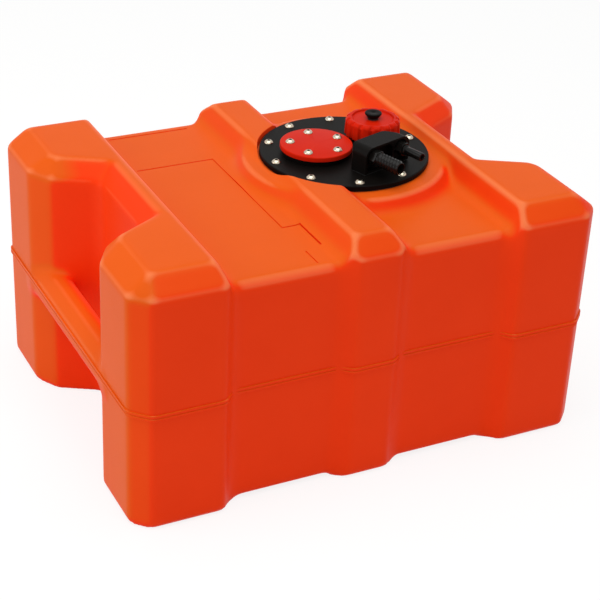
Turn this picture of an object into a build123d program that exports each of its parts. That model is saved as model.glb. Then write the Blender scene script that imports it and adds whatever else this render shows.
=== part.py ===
"""Portable outboard fuel tank: a hollow moulded shell with carrying handles, closed by a
round fittings plate that carries the filler, a blanked gauge port and the hose fittings.

Millimetres. +Z is up, X runs along the tank, the origin is at the middle of its underside.
"""
import os
from math import cos, radians, sin

from build123d import *

# ---- driving sizes ----------------------------------------------------------------------
# tank shell
length, width, height = 500.0, 384.0, 267.0
wall = 5.0
top_drop = 18.0             # height of the bevel round the top of the end belts
end_run, side_run = 23.0, 20.0      # its width on the end and on the long side
corner = 18.4               # leg of the upright corner bevel
belt_in = 158.0             # inner edge of an end belt, from mid length
belt_lean = 12.0            # run of its slanting inner side
panel_y, panel_z, panel_floor = 178.0, 242.0, 3.0
rib_half, rib_foot = 20.0, 34.0     # middle rib: half width on top and at its foot
rib_y, rib_z = 188.0, 265.0

# handles
mouth_y = 105.0             # half width of the hand recess at the end face
flare_x, flare_y = 234.5, 78.5
back_x, back_y = 190.0, 54.0
recess_run = 16.0           # width of the bevel round the top of the recess
bar_in, bar_low, bar_high = 218.0, 111.0, 143.0

# moulding line
bead_z, bead_high, bead_proud = 124.0, 6.0, 1.5

# round boss for the fittings plate
plate_x, plate_y = 62.2, 12.0
deck_z, boss_r, boss_foot = 256.0, 105.0, 113.0
seat_r, hatch_r, rim_low = 90.4, 68.0, 243.0

# fittings plate
plate_r, plate_thick, gasket_thick = 88.2, 5.0, 1.5
screw_ring, screw_count, screw_turn = 79.3, 10, 2.0
plate_low = deck_z + gasket_thick
plate_top = plate_low + plate_thick

# gauge port: the usual five screws on a 54 mm circle
port_x, port_y = 32.0, 17.0
port_ring, port_count, port_turn = 27.0, 5, 10.0
port_boss_r, port_boss_high, port_hole_r = 35.5, 4.5, 21.0
cover_r, cover_thick, port_gasket = 37.6, 5.0, 1.0

# filler neck and cap
neck_x, neck_y = 104.0, 29.0
neck_bore, neck_r, neck_collar = 20.0, 24.6, 27.0
neck_top, collar_top = 279.3, 266.5
cap_low, cap_shoulder, cap_top = 268.0, 282.0, 286.0
cap_r, cap_crown_r, cap_dish_r = 29.4, 24.7, 23.4
cap_flute_r, cap_flutes, cap_flute_turn = 2.4, 15, -1.0
thread_pitch, thread_high = 4.0, 0.8

# vent knob in the cap
stem_r, knob_base_r, knob_r = 3.0, 6.3, 8.9
knob_low, knob_top = 285.6, 291.8

# hose fittings block: u runs along its front from the supply's axis, depths go back from it
block_x, block_y, block_turn = 64.86, -48.93, 18.0
block_left, block_right, block_high, block_deep = -13.0, 50.5, 28.5, 23.5
block_narrow = 35.5         # right end of its back, where the slanting end meets it
crown_r, block_corner = 9.5, 6.5    # rounding of both ends of its top, and of its back corners
hood_wall, pocket_low = 2.3, 3.0
supply_pocket = block_left + hood_wall, 25.7, 8.0   # from, to, depth
breather_pocket = 28.7, 46.0, 5.0
outlet_high = 17.0          # height of both hose fittings above the plate
breather_u, port_back = 37.5, 1.0   # the breather's place, and how far in the port bosses stop

# pickup, and the breather's way down beside it
pickup_u, pickup_back, pickup_r, pickup_bore = 3.0, 14.5, 6.0, 4.5
breather_way_u = 34.5
pickup_spigot, breather_spigot = 8.0, 5.0
pickup_end, socket_deep = 22.0, 20.0

shoulder = height - top_drop
os.makedirs("parts", exist_ok=True)


def save(part, name):
    """Label a finished piece and write it to its own file."""
    part.label = name
    export_step(part, f"parts/{name}.step")


def on_circle(radius, count, turn=0.0):
    """Evenly spaced places on a circle."""
    return PolarLocations(radius, count, start_angle=turn)


# ---- tank shell -------------------------------------------------------------------------
def bevel_plane(a, b, c):
    """The plane through three points, facing away from the middle of the tank."""
    a, b, c = Vector(*a), Vector(*b), Vector(*c)
    normal = (b - a).cross(c - a).normalized()
    if normal.dot(a) < 0:
        normal = normal * -1
    return Plane(origin=a, z_dir=normal)


def recess_outline(grow):
    """Plan of the hand recess, wider at its mouth, grown by a distance."""
    beyond = length / 2 + 12
    slope = (mouth_y - flare_y) / (length / 2 - flare_x)
    half = [(beyond, mouth_y + 12 * slope), (flare_x, flare_y), (back_x, back_y)]
    Polygon(*half, *[(x, -y) for x, y in reversed(half)], align=None)
    if grow:
        offset(amount=grow, kind=Kind.INTERSECTION)


def belt_outline(grow=0.0):
    """Plan of one end belt, without its hand recess."""
    end_x, side_y = length / 2, width / 2
    half = [(belt_in - belt_lean, panel_y), (belt_in, side_y),
            (end_x - corner, side_y), (end_x, side_y - corner)]
    Polygon(*half, *[(x, -y) for x, y in reversed(half)], align=None)
    if grow:
        offset(amount=grow, kind=Kind.INTERSECTION)


def end_belt(inset):
    """The thick end of the tank: two corner towers joined by a ridge."""
    end_x, side_y = length / 2, width / 2
    bevels = [bevel_plane((end_x, 0, shoulder), (end_x, 9, shoulder), (end_x - end_run, 0, height))]
    for s in (-1, 1):
        tip = (end_x - end_run, s * (side_y - side_run), height)
        low_end = (end_x, s * (side_y - corner), shoulder)
        low_side = (end_x - corner, s * side_y, shoulder)
        bevels.append(bevel_plane(low_side, (belt_in, s * side_y, shoulder), tip))
        bevels.append(bevel_plane(low_side, low_end, tip))
    knee = shoulder - 0.38 * inset
    with BuildPart() as belt:
        with BuildSketch(Plane.XY.offset(inset)):
            belt_outline(-inset)
        extrude(amount=height - 2 * inset)
        for bevel in bevels:
            split(bisect_by=bevel.offset(-inset), keep=Keep.BOTTOM)
        # the ridge's inner side leans out above the panel
        with BuildSketch(Plane.XZ):
            lean = belt_in - 6 + inset
            Polygon((belt_in - 30, panel_z - inset), (lean, panel_z - inset),
                    (lean + 9, height + 1), (belt_in - 30, height + 1), align=None)
        extrude(amount=width, both=True, mode=Mode.SUBTRACT)
        # hand recess, bevelled round its top
        with BuildSketch(Plane.XY.offset(-1)):
            recess_outline(inset)
        extrude(amount=knee + 1, mode=Mode.SUBTRACT)
        with BuildSketch(Plane.XY.offset(knee)):
            recess_outline(inset)
        with BuildSketch(Plane.XY.offset(knee + 1.2 * top_drop)):
            recess_outline(inset + 1.2 * recess_run)
        loft(ruled=True, mode=Mode.SUBTRACT)
    return belt.part


def panel_block(inset):
    """The long middle body between the belts."""
    with BuildPart() as panel:
        with BuildSketch(Plane.XY.offset(panel_floor + inset)):
            Rectangle(2 * (belt_in + 6), 2 * (panel_y - inset))
        extrude(amount=panel_z - panel_floor - 2 * inset)
        if not inset:
            long_top = panel.edges().filter_by(Axis.X).group_by(Axis.Z)[-1]
            chamfer(long_top, length=5.5)
    return panel.part


def middle_rib(inset):
    """The raised rib across the middle, with slanting sides."""
    top_y = rib_y - side_run
    with BuildPart() as rib:
        with BuildSketch(Plane.XZ):
            half = [(rib_half - 0.4 * inset, rib_z - inset), (rib_foot - inset, panel_z - inset),
                    (rib_foot - inset, inset)]
            Polygon(*half, *[(-x, z) for x, z in reversed(half)], align=None)
        extrude(amount=rib_y - inset, both=True)
        for s in (-1, 1):
            bevel = bevel_plane((0, s * rib_y, rib_z - top_drop), (9, s * rib_y, rib_z - top_drop),
                                (0, s * top_y, rib_z))
            split(bisect_by=bevel.offset(-inset), keep=Keep.BOTTOM)
            # the rib narrows where it stands proud of the long sides
            for side in (-1, 1):
                corner_plane = bevel_plane((side * (rib_half + 2), s * rib_y, 0),
                                           (side * (rib_half + 2), s * rib_y, 9),
                                           (side * rib_foot, s * panel_y, 0))
                split(bisect_by=corner_plane.offset(-inset), keep=Keep.BOTTOM)
    return rib.part


def handle_bar(inset):
    """The grip across the mouth of a hand recess."""
    with BuildPart() as bar:
        with BuildSketch(Plane.XZ) as section:
            outer = length / 2
            Polygon((bar_in, bar_low), (outer, bar_low), (outer, bar_high - 11),
                    (outer - 12, bar_high), (bar_in, bar_high), align=None)
            inner = section.vertices().group_by(Axis.X)[0]
            fillet(inner, 10)
            fillet(section.vertices().group_by(Axis.X)[-1], 5)
            if inset:
                offset(amount=-inset, kind=Kind.INTERSECTION)
        extrude(amount=mouth_y + 12, both=True)
    return bar.part


def plate_boss(inset):
    """The round raised boss under the fittings plate."""
    with BuildPart() as boss:
        with BuildSketch(Plane.XZ):
            Polygon((0, 200), (boss_foot - inset, 200), (boss_foot - inset, panel_z - inset),
                    (boss_r - inset, deck_z - inset), (0, deck_z - inset), align=None)
        revolve(axis=Axis.Z)
    return Pos(plate_x, plate_y, 0) * boss.part


def tank_form(inset):
    """The tank's whole shape, shrunk by a distance on every side."""
    with BuildPart() as form:
        for piece in (end_belt(inset), handle_bar(inset)):
            add(piece)
            add(mirror(piece, about=Plane.YZ))
        add(panel_block(inset))
        add(middle_rib(inset))
        add(plate_boss(inset))
        with BuildSketch(Plane.XY.offset(deck_z - inset)):
            with Locations((plate_x, plate_y)):
                Circle(seat_r + inset)
        extrude(amount=30, mode=Mode.SUBTRACT)
    return form.part


with BuildPart() as insert_rim:
    with BuildSketch(Plane.XY.offset(rim_low)):
        with Locations((plate_x, plate_y)):
            Circle(seat_r - 3)
            Circle(hatch_r, mode=Mode.SUBTRACT)
    extrude(amount=deck_z - rim_low)

with BuildPart() as bead:
    with BuildSketch(Plane.XY.offset(bead_z)) as outline:
        Rectangle(2 * belt_in, 2 * panel_y)
        belt_outline()
        mirror(about=Plane.YZ)
        for s in (-1, 1):
            Polygon((rib_half + 2, s * rib_y), (rib_foot, s * panel_y), (0, 0), (-rib_foot, s * panel_y),
                    (-rib_half - 2, s * rib_y), align=None)
        inner = offset(outline.sketch, amount=-3, mode=Mode.PRIVATE)
        offset(amount=bead_proud)
        add(inner, mode=Mode.SUBTRACT)
    extrude(amount=bead_high)

with BuildPart() as tank_body:
    add(tank_form(0))
    add(bead.part)
    add(tank_form(wall), mode=Mode.SUBTRACT)
    add(insert_rim.part)
    with BuildSketch(Plane.XY.offset(rim_low - 20)):
        with Locations((plate_x, plate_y)):
            Circle(hatch_r)
    extrude(amount=40, mode=Mode.SUBTRACT)
    with BuildSketch(Plane.XY.offset(deck_z)):
        with Locations((plate_x, plate_y)):
            with on_circle(screw_ring, screw_count, screw_turn):
                Circle(4)
    extrude(amount=-10.5, mode=Mode.SUBTRACT)
save(tank_body.part, "tank_body")


# ---- inserts, gaskets and screws --------------------------------------------------------
def button_screw(head_r, head_high, shank_r, shank):
    """One socket button-head screw, standing on its head's underside."""
    with BuildPart() as screw:
        with BuildSketch(Plane.XZ):
            with BuildLine():
                Polyline((0.8, head_high), (0, head_high), (0, -shank), (shank_r, -shank), (shank_r, 0),
                         (head_r, 0), (head_r, 0.4))
                RadiusArc((head_r, 0.4), (0.8, head_high), -1.12 * head_r)
            make_face()
        revolve(axis=Axis.Z)
        with BuildSketch(Plane.XY.offset(head_high)):
            RegularPolygon(0.36 * head_r, 6)
        extrude(amount=-0.6 * head_high, mode=Mode.SUBTRACT)
    return screw.part


def screw_group(screw, middle, radius, count, turn, seat):
    """The same screw at every place of a circle."""
    with BuildPart() as group:
        with Locations((*middle, seat)):
            with on_circle(radius, count, turn):
                add(screw)
    return group.part


with BuildPart() as flange_inserts:
    with BuildSketch(Plane.XY.offset(deck_z)):
        with Locations((plate_x, plate_y)):
            with on_circle(screw_ring, screw_count, screw_turn):
                Circle(4)
                Circle(2.5, mode=Mode.SUBTRACT)
    extrude(amount=-10.5)
save(flange_inserts.part, "flange_inserts")

with BuildPart() as flange_gasket:
    with BuildSketch(Plane.XY.offset(deck_z)):
        with Locations((plate_x, plate_y)):
            Circle(plate_r - 1.5)
            Circle(hatch_r + 1, mode=Mode.SUBTRACT)
            with on_circle(screw_ring, screw_count, screw_turn):
                Circle(2.75, mode=Mode.SUBTRACT)
    extrude(amount=gasket_thick)
save(flange_gasket.part, "flange_gasket")

plate_screw = button_screw(4.9, 2.9, 2.5, 16)
plate_screws = screw_group(plate_screw, (plate_x, plate_y), screw_ring, screw_count, screw_turn, plate_top)
save(plate_screws, "plate_screws")


# ---- fittings plate ---------------------------------------------------------------------
def block_plane(back=0.0):
    """The fittings block's front face: x along the block, y up from the plate."""
    turn = radians(block_turn)
    along, front = (cos(turn), sin(turn), 0), (sin(turn), -cos(turn), 0)
    origin = (block_x - back * front[0], block_y - back * front[1], plate_top)
    return Plane(origin=origin, x_dir=along, z_dir=front)


def block_point(u, back):
    """World X, Y of a place on the block, u along it and back from its front face."""
    point = block_plane(back).from_local_coords((u, 0, 0))
    return point.X, point.Y


def tail_plane(u, back):
    """A hose tail's axis, leaving the front of the block."""
    return Plane(origin=block_plane(back).from_local_coords((u, outlet_high, 0)),
                 x_dir=block_plane().x_dir, z_dir=block_plane().z_dir)


pickup_at = block_point(pickup_u, pickup_back)
breather_at = block_point(breather_way_u, pickup_back)
block_screws_at = [block_point(u, back) for u, back in ((-9.4, 16.5), (15, 15), (25.3, 15))]


def thread_ridges(radius, step, low, high):
    """Profiles of a screw thread's ridges, set out as rings so the cap can lift straight off."""
    for i in range(int((high - low) / thread_pitch)):
        z = low + i * thread_pitch
        Polygon((radius - 0.3 * step, z), (radius + step, z + 0.8), (radius + step, z + 1.4),
                (radius - 0.3 * step, z + 2.2), align=None)


with BuildPart() as neck:
    with BuildSketch(Plane.XY.offset(plate_top - 2)):
        Circle(neck_collar)
    extrude(amount=collar_top - plate_top + 2)
    with BuildSketch(Plane.XY.offset(plate_top - 2)):
        Circle(neck_r)
    extrude(amount=neck_top - plate_top + 2)
    with BuildSketch(Plane.XZ):
        thread_ridges(neck_r, thread_high, 269.0, neck_top - 1)
    revolve(axis=Axis.Z)
    with BuildSketch(Plane.XY.offset(plate_top - 2)):
        Circle(neck_bore)
    extrude(amount=40, mode=Mode.SUBTRACT)

with BuildPart() as inspection_plate:
    with BuildSketch(Plane.XY.offset(plate_low)):
        with Locations((plate_x, plate_y)):
            Circle(plate_r)
    extrude(amount=plate_thick)
    fillet(inspection_plate.edges().group_by(Axis.Z)[-1], 1.2)
    with BuildSketch(Plane.XY.offset(plate_top)):
        with Locations((port_x, port_y)):
            Circle(port_boss_r)
    extrude(amount=port_boss_high)
    add(Pos(neck_x, neck_y, 0) * neck.part)
    # openings through the plate
    with BuildSketch(Plane.XY.offset(plate_low - 1)):
        with Locations((plate_x, plate_y)):
            with on_circle(screw_ring, screw_count, screw_turn):
                Circle(2.75)
        with Locations((port_x, port_y)):
            Circle(port_hole_r)
        with Locations((neck_x, neck_y)):
            Circle(neck_bore)
        with Locations(pickup_at):
            Circle(pickup_spigot + 0.1)
        with Locations(breather_at):
            Circle(breather_spigot + 0.1)
        with Locations(*block_screws_at):
            Circle(2.2)
    extrude(amount=14, mode=Mode.SUBTRACT)
    # pockets for the gauge port's inserts
    with BuildSketch(Plane.XY.offset(plate_top + port_boss_high)):
        with Locations((port_x, port_y)):
            with on_circle(port_ring, port_count, port_turn):
                Circle(3.6)
    extrude(amount=-8, mode=Mode.SUBTRACT)
save(inspection_plate.part, "inspection_plate")


# ---- gauge port, blanked ----------------------------------------------------------------
port_top = plate_top + port_boss_high

with BuildPart() as sender_inserts:
    with BuildSketch(Plane.XY.offset(port_top)):
        with Locations((port_x, port_y)):
            with on_circle(port_ring, port_count, port_turn):
                Circle(3.6)
                Circle(2.5, mode=Mode.SUBTRACT)
    extrude(amount=-8)
save(sender_inserts.part, "sender_inserts")

with BuildPart() as sender_gasket:
    with BuildSketch(Plane.XY.offset(port_top)):
        with Locations((port_x, port_y)):
            Circle(port_boss_r - 1)
            Circle(port_hole_r, mode=Mode.SUBTRACT)
            with on_circle(port_ring, port_count, port_turn):
                Circle(2.7, mode=Mode.SUBTRACT)
    extrude(amount=port_gasket)
save(sender_gasket.part, "sender_gasket")

with BuildPart() as sender_cover:
    with BuildSketch(Plane.XY.offset(port_top + port_gasket)):
        with Locations((port_x, port_y)):
            Circle(cover_r)
            with on_circle(port_ring, port_count, port_turn):
                Circle(2.7, mode=Mode.SUBTRACT)
    extrude(amount=cover_thick)
    rim = sender_cover.edges().filter_by(GeomType.CIRCLE).sort_by(lambda e: e.radius)[-2:]
    fillet(rim.sort_by(Axis.Z)[-1], 1.2)
save(sender_cover.part, "sender_cover")

cover_screw = button_screw(4.9, 2.9, 2.5, 13)
sender_screws = screw_group(cover_screw, (port_x, port_y), port_ring, port_count, port_turn,
                            port_top + port_gasket + cover_thick)
save(sender_screws, "sender_screws")

# ---- filler cap and its vent ------------------------------------------------------------
cap_roof, cap_bore = 282.2, 26.6
dish_z, cap_edge = cap_top - 0.8, cap_top - cap_shoulder

with BuildPart() as filler_cap:
    with BuildSketch(Plane.XZ):
        with BuildLine():
            Polyline((cap_crown_r, cap_top), (cap_dish_r, cap_top), (cap_dish_r, dish_z), (0, dish_z),
                     (0, cap_low), (cap_r, cap_low), (cap_crown_r + cap_edge, cap_shoulder))
            CenterArc((cap_crown_r, cap_shoulder), cap_edge, 0, 90)
        make_face()
    revolve(axis=Axis.Z)
    with BuildSketch(Plane.XY.offset(cap_low)):
        with on_circle(cap_r + 0.6, cap_flutes, cap_flute_turn):
            Circle(cap_flute_r)
    extrude(amount=cap_top - cap_low, mode=Mode.SUBTRACT)
    with BuildSketch(Plane.XY.offset(cap_low)):
        Circle(cap_bore)
    extrude(amount=cap_roof - cap_low, mode=Mode.SUBTRACT)
    with BuildSketch(Plane.XZ):
        thread_ridges(cap_bore, -thread_high, 271.2, cap_roof - 2.9)
    revolve(axis=Axis.Z)
    # way for the vent stem and seat for its seal
    with BuildSketch(Plane.XY.offset(cap_low)):
        Circle(stem_r + 0.06)
    extrude(amount=30, mode=Mode.SUBTRACT)
    with BuildSketch(Plane.XY.offset(dish_z)):
        Circle(6.8)
    extrude(amount=-1.5, mode=Mode.SUBTRACT)
save(Pos(neck_x, neck_y, 0) * filler_cap.part, "filler_cap")

with BuildPart() as cap_gasket:
    with BuildSketch(Plane.XY.offset(neck_top + 0.2)):
        Circle(neck_r + 0.6)
        Circle(neck_bore + 0.5, mode=Mode.SUBTRACT)
    extrude(amount=2.4)
save(Pos(neck_x, neck_y, 0) * cap_gasket.part, "cap_gasket")

stem_end, groove_low, groove_high, groove_r = 277.6, 278.5, 279.4, 2.4

with BuildPart() as vent_knob:
    with BuildSketch(Plane.XZ):
        with BuildLine():
            Polyline((0, stem_end), (stem_r, stem_end), (stem_r, groove_low), (groove_r, groove_low),
                     (groove_r, groove_high), (stem_r, groove_high), (stem_r, knob_low),
                     (knob_base_r, knob_low), (knob_r, knob_top - 1.8), (knob_r, knob_top - 1))
            ThreePointArc((knob_r, knob_top - 1), (knob_r - 0.3, knob_top - 0.3), (knob_r - 1, knob_top))
            Polyline((knob_r - 1, knob_top), (0, knob_top), (0, stem_end))
        make_face()
    revolve(axis=Axis.Z)
save(Pos(neck_x, neck_y, 0) * vent_knob.part, "vent_knob")

with BuildPart() as vent_seal:
    with BuildSketch(Plane.XY.offset(dish_z - 1.45)):
        Circle(6.4)
        Circle(stem_r + 0.4, mode=Mode.SUBTRACT)
    extrude(amount=1.5)
save(Pos(neck_x, neck_y, 0) * vent_seal.part, "vent_seal")

with BuildPart() as vent_retainer:
    with BuildSketch(Plane.XY.offset(groove_low)):
        Circle(5.2)
        Circle(groove_r, mode=Mode.SUBTRACT)
        with Locations((4, 0)):
            Rectangle(6, 3.6, mode=Mode.SUBTRACT)
    extrude(amount=groove_high - groove_low)
save(Pos(neck_x, neck_y, 0) * vent_retainer.part, "vent_retainer")

# ---- hose fittings block ----------------------------------------------------------------
gasket_low = 0.8            # gasket under the block
tail_r, tail_deep, tail_seal_r = 6.5, 8.0, 7.4      # threaded end of the supply tail, and its seal
breather_tail_r, breather_tail_deep, breather_seal_r = 4.2, 7.0, 6.0
seal_high = 1.6
block_foot = Plane(origin=(block_x, block_y, plate_top), x_dir=block_plane().x_dir)


def block_plan(grow=0.0):
    """Outline of the block on the plate: square in front, its right end slanting back."""
    Polygon((block_left, 0), (block_right, 0), (block_narrow, block_deep), (block_left, block_deep),
            align=None)
    fillet(vertices().group_by(Axis.Y)[-1], block_corner)
    if grow:
        offset(amount=grow)


def front_arch(left, right, low, high, radius):
    """Front view of the block or of a pocket in it: straight sides and rounded top corners."""
    Polygon((left, low), (right, low), (right, high), (left, high), align=None)
    fillet(vertices().group_by(Axis.Y)[-1], radius)


with BuildPart() as manifold_block:
    with BuildSketch(block_plane()):
        front_arch(block_left, block_right, gasket_low, block_high, crown_r)
    extrude(amount=-block_deep)
    with BuildSketch(block_foot):
        block_plan()
    extrude(amount=block_high + 1, mode=Mode.INTERSECT)
    # a pocket round each outlet leaves a hood over it, and the outlet's boss stands in it
    for left, right, deep in (supply_pocket, breather_pocket):
        with BuildSketch(block_plane()):
            front_arch(left, right, pocket_low, block_high - hood_wall, crown_r - hood_wall)
        extrude(amount=-deep, mode=Mode.SUBTRACT)
    for u, radius in ((0, 8.4), (breather_u, 7.2)):
        with BuildSketch(tail_plane(u, 9)):
            Circle(radius)
        extrude(amount=9 - port_back)
    # spigots down through the plate
    for place, radius, deep in ((pickup_at, pickup_spigot, socket_deep), (breather_at, breather_spigot, 14)):
        with BuildSketch(Plane.XY.offset(plate_top + gasket_low)):
            with Locations(place):
                Circle(radius)
        extrude(amount=-deep - gasket_low)
    # ways through: hose tail, its seal's seat, passage, pickup socket
    passage_deep = pickup_back - port_back
    for u, radius, deep in ((0, tail_r, tail_deep), (0, tail_seal_r, seal_high), (0, 4, passage_deep),
                            (breather_u, breather_tail_r, breather_tail_deep),
                            (breather_u, breather_seal_r, seal_high), (breather_u, 2.4, passage_deep)):
        with BuildSketch(tail_plane(u, port_back)):
            Circle(radius)
        extrude(amount=-deep, mode=Mode.SUBTRACT)
    for place, radius in ((pickup_at, 4.0), (breather_at, 2.4)):
        with BuildSketch(Plane.XY.offset(plate_top + outlet_high)):
            with Locations(place):
                Circle(radius)
        extrude(amount=-60, mode=Mode.SUBTRACT)
    with BuildSketch(Plane.XY.offset(plate_top - socket_deep)):
        with Locations(pickup_at):
            Circle(pickup_r)
    extrude(amount=16, mode=Mode.SUBTRACT)
    with BuildSketch(Plane.XY.offset(plate_top - 17)):
        with Locations(pickup_at):
            Circle(7.2)
    extrude(amount=2, mode=Mode.SUBTRACT)
    with BuildSketch(Plane.XY.offset(plate_top + gasket_low)):
        with Locations(*block_screws_at):
            Circle(2)
    extrude(amount=9, mode=Mode.SUBTRACT)
save(manifold_block.part, "manifold_block")

with BuildPart() as manifold_gasket:
    with BuildSketch(block_foot):
        block_plan(-0.5)
    extrude(amount=gasket_low)
    with BuildSketch(Plane.XY.offset(plate_top)):
        with Locations(pickup_at):
            Circle(pickup_spigot + 0.1)
        with Locations(breather_at):
            Circle(breather_spigot + 0.1)
        with Locations(*block_screws_at):
            Circle(2.2)
    extrude(amount=2, mode=Mode.SUBTRACT)
save(manifold_gasket.part, "manifold_gasket")

with BuildPart() as block_screw:
    with BuildSketch(Plane.XZ):
        with BuildLine():
            Polyline((0, 11), (2, 11), (2, 0), (3.6, 0), (3.6, -1.2))
            ThreePointArc((3.6, -1.2), (2.4, -2.2), (0, -2.5))
            Line((0, -2.5), (0, 11))
        make_face()
    revolve(axis=Axis.Z)
    for turn in (0, 90):
        with BuildSketch(Plane.XY.offset(-2.6)):
            Rectangle(4.2, 0.8, rotation=turn)
        extrude(amount=1.6, mode=Mode.SUBTRACT)
with BuildPart() as manifold_screws:
    with Locations(*[(x, y, plate_low) for x, y in block_screws_at]):
        add(block_screw.part)
save(manifold_screws.part, "manifold_screws")


def seal_ring(plane, inner, outer, high):
    """A plain sealing ring of rectangular section with eased edges."""
    with BuildPart() as ring:
        with BuildSketch(plane):
            Circle(outer)
            Circle(inner, mode=Mode.SUBTRACT)
        extrude(amount=high)
        chamfer(ring.edges().filter_by(GeomType.CIRCLE), 0.2)
    return ring.part


# ---- hose tails -------------------------------------------------------------------------
hex_high = 7.5

with BuildPart() as supply_hose_tail:
    barb_count, barb_pitch, barb_r, barb_root = 7, 3.75, 7.3, 6.2
    collar_r, barb_start = 7.0, hex_high + 1.5
    tip = barb_start + barb_count * barb_pitch + 1.05
    with BuildSketch(Plane.XY):
        RegularPolygon(7.5, 6, major_radius=False)
    extrude(amount=hex_high)
    with BuildSketch(Plane.XZ):
        ridges = []
        for i in range(barb_count):
            z = barb_start + i * barb_pitch
            ridges += [(barb_root, z), (barb_r, z + 0.4), (barb_r, z + 1.2), (barb_root, z + barb_pitch - 0.2)]
        Polygon((0, -tail_deep), (tail_r, -tail_deep), (tail_r, hex_high - 1), (collar_r, hex_high - 1),
                (collar_r, barb_start), *ridges, (barb_root, tip), (0, tip), align=None)
    revolve(axis=Axis.Z)
    with BuildSketch(Plane.XY.offset(-10)):
        Circle(4.8)
    extrude(amount=80, mode=Mode.SUBTRACT)
save(tail_plane(0, port_back).location * supply_hose_tail.part, "supply_hose_tail")

with BuildPart() as breather_hose_tail:
    tip, tube_r = 31.0, 4.35
    with BuildSketch(Plane.XY):
        RegularPolygon(6.5, 6, major_radius=False)
    extrude(amount=hex_high)
    with BuildSketch(Plane.XZ):
        Polygon((0, -breather_tail_deep), (breather_tail_r, -breather_tail_deep),
                (breather_tail_r, hex_high - 1), (5.4, hex_high - 1), (5.4, 9.3), (tube_r, 9.9),
                (tube_r, tip - 0.6), (tube_r - 0.6, tip), (0, tip), align=None)
    revolve(axis=Axis.Z)
    with BuildSketch(Plane.XY.offset(-12)):
        Circle(2.4)
    extrude(amount=80, mode=Mode.SUBTRACT)
save(tail_plane(breather_u, port_back).location * breather_hose_tail.part, "breather_hose_tail")

save(seal_ring(tail_plane(0, port_back + seal_high), tail_r, tail_seal_r, seal_high), "supply_tail_seal")
save(seal_ring(tail_plane(breather_u, port_back + seal_high), breather_tail_r, breather_seal_r, seal_high),
     "breather_tail_seal")

# ---- pickup -----------------------------------------------------------------------------
with BuildPart() as pickup_tube:
    with BuildSketch(Plane.XY.offset(pickup_end)):
        with Locations(pickup_at):
            Circle(pickup_r)
            Circle(pickup_bore, mode=Mode.SUBTRACT)
    extrude(amount=plate_top - 4.5 - pickup_end)
save(pickup_tube.part, "pickup_tube")

seal_plane = Plane(origin=(*pickup_at, plate_top - 17))
save(seal_ring(seal_plane, pickup_r, 7.2, 2), "pickup_tube_seal")

with BuildPart() as pickup_strainer:
    low, shelf, top = 10.0, 34.0, 44.0
    with BuildSketch(Plane.XZ):
        Polygon((0, low), (11, low), (11, shelf), (8.5, shelf + 2), (8.5, top), (pickup_r, top),
                (pickup_r, shelf - 2), (9.6, shelf - 2), (9.6, low + 2), (0, low + 2), align=None)
    revolve(axis=Axis.Z)
    with BuildSketch(Plane.XY.offset(low + 3.5)):
        with PolarLocations(10.5, 6):
            Rectangle(6, 6)
    extrude(amount=16, mode=Mode.SUBTRACT)
save(Pos(*pickup_at, 0) * pickup_strainer.part, "pickup_strainer")

with BuildPart() as strainer_gauze:
    with BuildSketch(Plane.XY.offset(12.0)):
        with Locations(pickup_at):
            Circle(9.6)
            Circle(9.3, mode=Mode.SUBTRACT)
    extrude(amount=20)
save(strainer_gauze.part, "strainer_gauze")
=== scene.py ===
import math
from functools import reduce

import bmesh
import bpy
import numpy as np
from mathutils import Matrix, Vector


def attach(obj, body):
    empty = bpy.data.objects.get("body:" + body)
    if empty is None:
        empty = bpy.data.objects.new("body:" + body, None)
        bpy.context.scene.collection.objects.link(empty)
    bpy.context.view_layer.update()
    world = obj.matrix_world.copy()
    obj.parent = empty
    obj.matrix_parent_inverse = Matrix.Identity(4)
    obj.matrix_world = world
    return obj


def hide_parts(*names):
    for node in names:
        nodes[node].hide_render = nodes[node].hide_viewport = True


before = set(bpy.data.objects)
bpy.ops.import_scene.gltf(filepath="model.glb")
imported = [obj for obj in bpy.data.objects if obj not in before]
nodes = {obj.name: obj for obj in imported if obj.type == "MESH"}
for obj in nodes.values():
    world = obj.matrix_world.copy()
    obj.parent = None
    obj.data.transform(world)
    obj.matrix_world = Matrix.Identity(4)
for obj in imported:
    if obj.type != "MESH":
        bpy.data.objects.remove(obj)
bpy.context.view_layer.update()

MM = 0.001

# ---- studio -----------------------------------------------------------------------------
# A plain white sweep in soft light: a broad panel overhead, another beyond the left end, and
# even fill from all round. The lens looks down on the tank from its near left corner.
eye = Vector((-695.1, -1362.3, 966.2)) * MM
yaw, pitch, roll = (math.radians(turn) for turn in (27.47, 29.44, 2.81))
focal_length, film_width = 98.84, 36.0
fill_level, top_level, left_level = 0.5, 23.0, 13.2
shadow_share, floor_glow = 0.2, 1.05    # how much of the floor's own light and shadow is seen
lamp_aim, floor_half = Vector((0, 0, 0.15)), 4    # metres, as the panels' places and sizes are


def put(tree, kind, inputs=None, **settings):
    """Add a node with its settings, and its inputs by name or number as values or links."""
    node = tree.nodes.new(kind)
    for name, value in settings.items():
        setattr(node, name, value)
    for key, value in (inputs or {}).items():
        if isinstance(value, bpy.types.NodeSocket):
            tree.links.new(value, node.inputs[key])
        else:
            node.inputs[key].default_value = value
    return node


def linear(code):
    """The linear colour of an sRGB hex code."""
    parts = [int(code[i:i + 2], 16) / 255 for i in (1, 3, 5)]
    return (*[c / 12.92 if c <= 0.04045 else ((c + 0.055) / 1.055) ** 2.4 for c in parts], 1.0)


def blank_tree(owner):
    """The empty node tree of a new material or world."""
    owner.use_nodes = True
    owner.node_tree.nodes.clear()
    return owner.node_tree


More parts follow.
